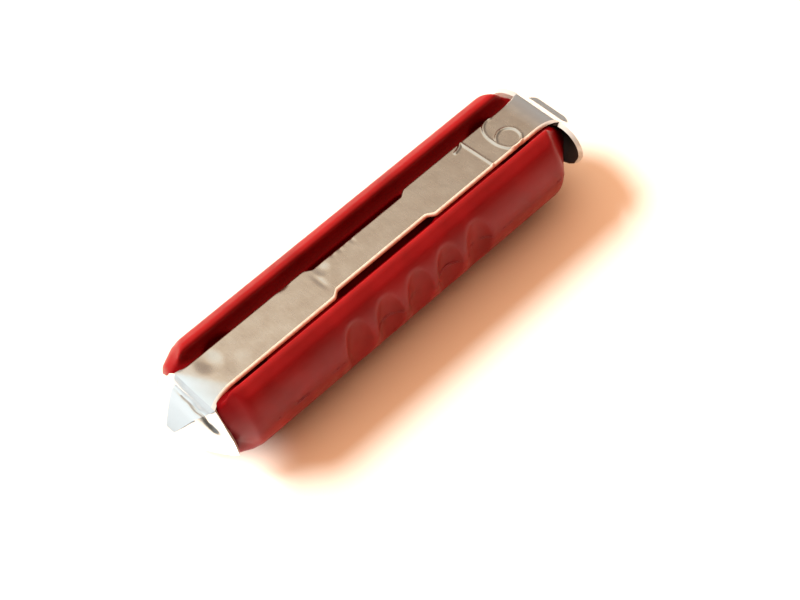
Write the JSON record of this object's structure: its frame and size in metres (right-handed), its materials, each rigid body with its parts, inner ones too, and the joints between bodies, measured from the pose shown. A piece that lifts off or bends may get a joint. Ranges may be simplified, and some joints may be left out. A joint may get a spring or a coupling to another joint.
{
  "type": "automotive cartridge fuse with conical ends",
  "caption": "Small round-bodied car fuse: a metal strip lies in a channel along a moulded body and forms a conical contact cap at each end.",
  "frame": {"origin": "middle of the fuse's outline on the plane it rests on, under the flat of the moulded body", "axes": "+X along the fuse, +Z out of the side that shows the strip, +Y across"},
  "size_m": [0.025, 0.006, 0.005],
  "materials": {
    "body_plastic": "satin moulded",
    "strip_metal": "tin plated, stamped"
  },
  "bodies": {
    "root": {"moulded_body": "body_plastic", "fuse_strip": "strip_metal"}
  },
  "joints": []
}
